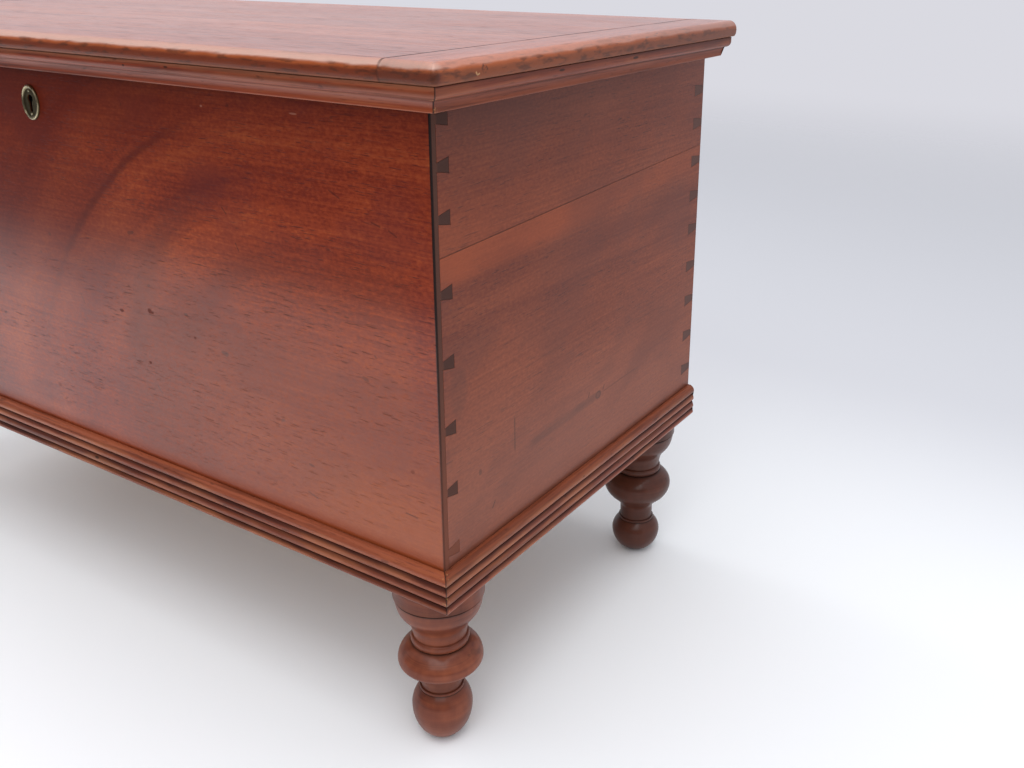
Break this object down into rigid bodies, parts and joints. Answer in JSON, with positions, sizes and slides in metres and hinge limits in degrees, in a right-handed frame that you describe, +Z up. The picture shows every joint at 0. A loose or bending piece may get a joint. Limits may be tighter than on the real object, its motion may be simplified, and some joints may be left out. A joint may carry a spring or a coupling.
{
  "type": "blanket chest",
  "caption": "Dovetailed wooden blanket chest on turned feet, with a reeded base, a hinged lid with a moulded lip, and a lock behind an oval keyhole plate.",
  "frame": {"origin": "on the floor, below the middle of the chest", "axes": "+X to the chest's right end, +Y to its back, +Z up"},
  "size_m": [1.0338, 0.4978, 0.618],
  "materials": {
    "front_wood": "varnished red-brown hardwood with flame figure",
    "end_wood": "varnished red-brown hardwood, worn",
    "lid_wood": "glossy varnished red-brown hardwood",
    "moulding_wood": "varnished red-brown hardwood, rubbed on the edges",
    "foot_wood": "turned and varnished red-brown hardwood",
    "raw_wood": "bare aged softwood",
    "old_brass": "aged brass",
    "old_iron": "dark aged iron"
  },
  "bodies": {
    "case": {"front_board": "front_wood", "back_board": "end_wood", "right_end_lower_board": "end_wood", "right_end_upper_board": "end_wood", "left_end_lower_board": "end_wood", "left_end_upper_board": "end_wood", "bottom_board_front": "raw_wood", "bottom_board_back": "raw_wood", "base_moulding_front": "moulding_wood", "base_moulding_right": "moulding_wood", "base_moulding_left": "moulding_wood", "corner_block_front_right": "raw_wood", "corner_block_front_left": "raw_wood", "corner_block_back_right": "raw_wood", "corner_block_back_left": "raw_wood", "foot_front_right": "foot_wood", "foot_front_left": "foot_wood", "foot_back_right": "foot_wood", "foot_back_left": "foot_wood", "hinge_right_case_leaf": "old_iron", "hinge_right_pin": "old_iron", "hinge_right_case_screw_1": "old_iron", "hinge_right_case_screw_2": "old_iron", "hinge_right_case_screw_3": "old_iron", "hinge_left_case_leaf": "old_iron", "hinge_left_pin": "old_iron", "hinge_left_case_screw_1": "old_iron", "hinge_left_case_screw_2": "old_iron", "hinge_left_case_screw_3": "old_iron", "lock_plate": "old_iron", "lock_cap": "old_iron", "lock_spring": "old_iron", "lock_key_pin": "old_iron", "lock_screw_1": "old_iron", "lock_screw_2": "old_iron", "lock_screw_3": "old_iron", "lock_screw_4": "old_iron", "escutcheon": "old_brass", "escutcheon_pin_top": "old_brass", "escutcheon_pin_foot": "old_brass"},
    "lid": {"lid_panel": "lid_wood", "lid_end_cap_right": "lid_wood", "lid_end_cap_left": "lid_wood", "lip_moulding_front": "moulding_wood", "lip_moulding_right": "moulding_wood", "lip_moulding_left": "moulding_wood", "hinge_right_lid_leaf": "old_iron", "hinge_right_lid_screw_1": "old_iron", "hinge_right_lid_screw_2": "old_iron", "hinge_right_lid_screw_3": "old_iron", "hinge_left_lid_leaf": "old_iron", "hinge_left_lid_screw_1": "old_iron", "hinge_left_lid_screw_2": "old_iron", "hinge_left_lid_screw_3": "old_iron", "lock_keeper": "old_iron", "keeper_screw_1": "old_iron", "keeper_screw_2": "old_iron"},
    "bolt": {"lock_bolt": "old_iron"}
  },
  "joints": [
    {"name": "lid_hinge", "type": "hinge", "parent": "case", "child": "lid", "pos_m": [0, 0.24535, 0.60235], "axis": [-1, 0, 0], "range_deg": [0, 100]},
    {"name": "bolt_slide", "type": "slide", "parent": "case", "child": "bolt", "axis": [1, 0, 0], "range_m": [0, 0.009]}
  ]
}
